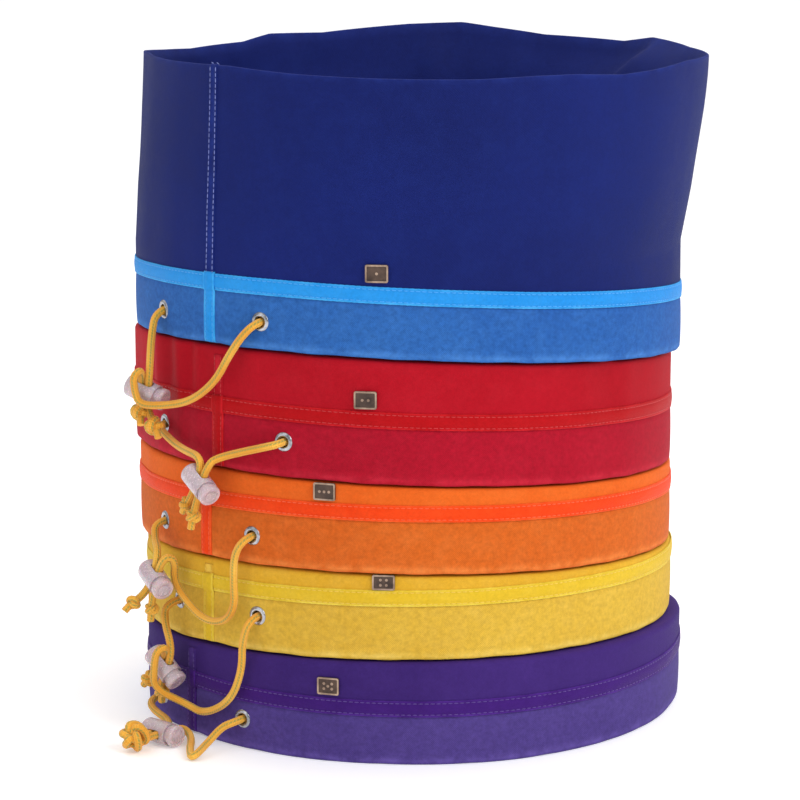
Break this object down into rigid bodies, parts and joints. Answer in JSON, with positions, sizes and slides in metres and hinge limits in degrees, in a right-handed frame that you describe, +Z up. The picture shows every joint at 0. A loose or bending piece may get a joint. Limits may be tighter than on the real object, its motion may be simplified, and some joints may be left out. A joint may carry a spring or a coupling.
{
  "type": "nest of drawstring filter bags",
  "caption": "Nest of round drawstring cloth filter bags in graded colours, standing mouth down, each with a cord casing, eyelets, a sliding cord lock and a mesh screen.",
  "frame": {"origin": "centre of the lowest bag's mouth, in the plane of its hem, on the surface the nest stands on", "axes": "+Z up along the bags' common axis; -Y towards the front, where the size tags are; the drawcords hang at the front left"},
  "size_m": [0.3145, 0.31, 0.366],
  "materials": {
    "purple_cloth": "woven, matt",
    "purple_hem_cloth": "woven, matt",
    "purple_tape": "stitched tape, slight sheen",
    "yellow_cloth": "woven, matt",
    "yellow_hem_cloth": "woven, matt",
    "yellow_tape": "stitched tape, slight sheen",
    "orange_cloth": "woven, matt",
    "orange_hem_cloth": "woven, matt",
    "orange_tape": "stitched tape, slight sheen",
    "red_cloth": "woven, matt",
    "red_hem_cloth": "woven, matt",
    "red_tape": "stitched tape, slight sheen",
    "blue_cloth": "woven, matt",
    "blue_hem_cloth": "woven, matt",
    "blue_tape": "stitched tape, slight sheen",
    "screen_mesh": "fine open mesh",
    "eyelet_metal": "bright plated",
    "cord": "braided",
    "lock_plastic": "milky, satin",
    "spring_steel": "bright wire",
    "tag_metal": "dark bronze, worn"
  },
  "bodies": {
    "purple_bag": {"purple_body": "purple_cloth", "purple_well": "purple_cloth", "purple_hem_casing": "purple_hem_cloth", "purple_tapes": "purple_tape", "purple_mesh_screen": "screen_mesh", "purple_screen_binding": "purple_tape", "purple_eyelets": "eyelet_metal", "purple_drawcord": "cord", "purple_lock_barrel": "lock_plastic", "purple_lock_spring": "spring_steel", "purple_size_tag": "tag_metal"},
    "purple_plunger": {"purple_lock_plunger": "lock_plastic"},
    "yellow_bag": {"yellow_body": "yellow_cloth", "yellow_well": "yellow_cloth", "yellow_hem_casing": "yellow_hem_cloth", "yellow_tapes": "yellow_tape", "yellow_mesh_screen": "screen_mesh", "yellow_screen_binding": "yellow_tape", "yellow_eyelets": "eyelet_metal", "yellow_drawcord": "cord", "yellow_lock_barrel": "lock_plastic", "yellow_lock_spring": "spring_steel", "yellow_size_tag": "tag_metal"},
    "yellow_plunger": {"yellow_lock_plunger": "lock_plastic"},
    "orange_bag": {"orange_body": "orange_cloth", "orange_well": "orange_cloth", "orange_hem_casing": "orange_hem_cloth", "orange_tapes": "orange_tape", "orange_mesh_screen": "screen_mesh", "orange_screen_binding": "orange_tape", "orange_eyelets": "eyelet_metal", "orange_drawcord": "cord", "orange_lock_barrel": "lock_plastic", "orange_lock_spring": "spring_steel", "orange_size_tag": "tag_metal"},
    "orange_plunger": {"orange_lock_plunger": "lock_plastic"},
    "red_bag": {"red_body": "red_cloth", "red_well": "red_cloth", "red_hem_casing": "red_hem_cloth", "red_tapes": "red_tape", "red_mesh_screen": "screen_mesh", "red_screen_binding": "red_tape", "red_eyelets": "eyelet_metal", "red_drawcord": "cord", "red_lock_barrel": "lock_plastic", "red_lock_spring": "spring_steel", "red_size_tag": "tag_metal"},
    "red_plunger": {"red_lock_plunger": "lock_plastic"},
    "blue_bag": {"blue_body": "blue_cloth", "blue_well": "blue_cloth", "blue_hem_casing": "blue_hem_cloth", "blue_tapes": "blue_tape", "blue_mesh_screen": "screen_mesh", "blue_screen_binding": "blue_tape", "blue_eyelets": "eyelet_metal", "blue_drawcord": "cord", "blue_lock_barrel": "lock_plastic", "blue_lock_spring": "spring_steel", "blue_size_tag": "tag_metal"},
    "blue_plunger": {"blue_lock_plunger": "lock_plastic"}
  },
  "joints": [
    {"name": "yellow_lift_off", "type": "slide", "parent": "purple_bag", "child": "yellow_bag", "axis": [0, 0, 1], "range_m": [0, 0.23]},
    {"name": "orange_lift_off", "type": "slide", "parent": "yellow_bag", "child": "orange_bag", "axis": [0, 0, 1], "range_m": [0, 0.21]},
    {"name": "red_lift_off", "type": "slide", "parent": "orange_bag", "child": "red_bag", "axis": [0, 0, 1], "range_m": [0, 0.19]},
    {"name": "blue_lift_off", "type": "slide", "parent": "red_bag", "child": "blue_bag", "axis": [0, 0, 1], "range_m": [0, 0.215]},
    {"name": "purple_lock_press", "type": "slide", "parent": "purple_bag", "child": "purple_plunger", "axis": [-0.7507, 0.6606, 0], "range_m": [0, 0.0022], "stiffness_N_per_m": 1100, "springref_m": -0.0022, "deforming": ["purple_lock_spring"]},
    {"name": "yellow_lock_press", "type": "slide", "parent": "yellow_bag", "child": "yellow_plunger", "axis": [-0.6017, 0.5014, 0.6217], "range_m": [0, 0.0022], "stiffness_N_per_m": 1100, "springref_m": -0.0022, "deforming": ["yellow_lock_spring"]},
    {"name": "orange_lock_press", "type": "slide", "parent": "orange_bag", "child": "orange_plunger", "axis": [-0.4197, 0.8494, 0.3198], "range_m": [0, 0.0022], "stiffness_N_per_m": 1100, "springref_m": -0.0022, "deforming": ["orange_lock_spring"]},
    {"name": "red_lock_press", "type": "slide", "parent": "red_bag", "child": "red_plunger", "axis": [-0.499, 0.7585, 0.4192], "range_m": [0, 0.0022], "stiffness_N_per_m": 1100, "springref_m": -0.0022, "deforming": ["red_lock_spring"]},
    {"name": "blue_lock_press", "type": "slide", "parent": "blue_bag", "child": "blue_plunger", "axis": [-0.8521, 0.4211, 0.3108], "range_m": [0, 0.0022], "stiffness_N_per_m": 1100, "springref_m": -0.0022, "deforming": ["blue_lock_spring"]}
  ]
}
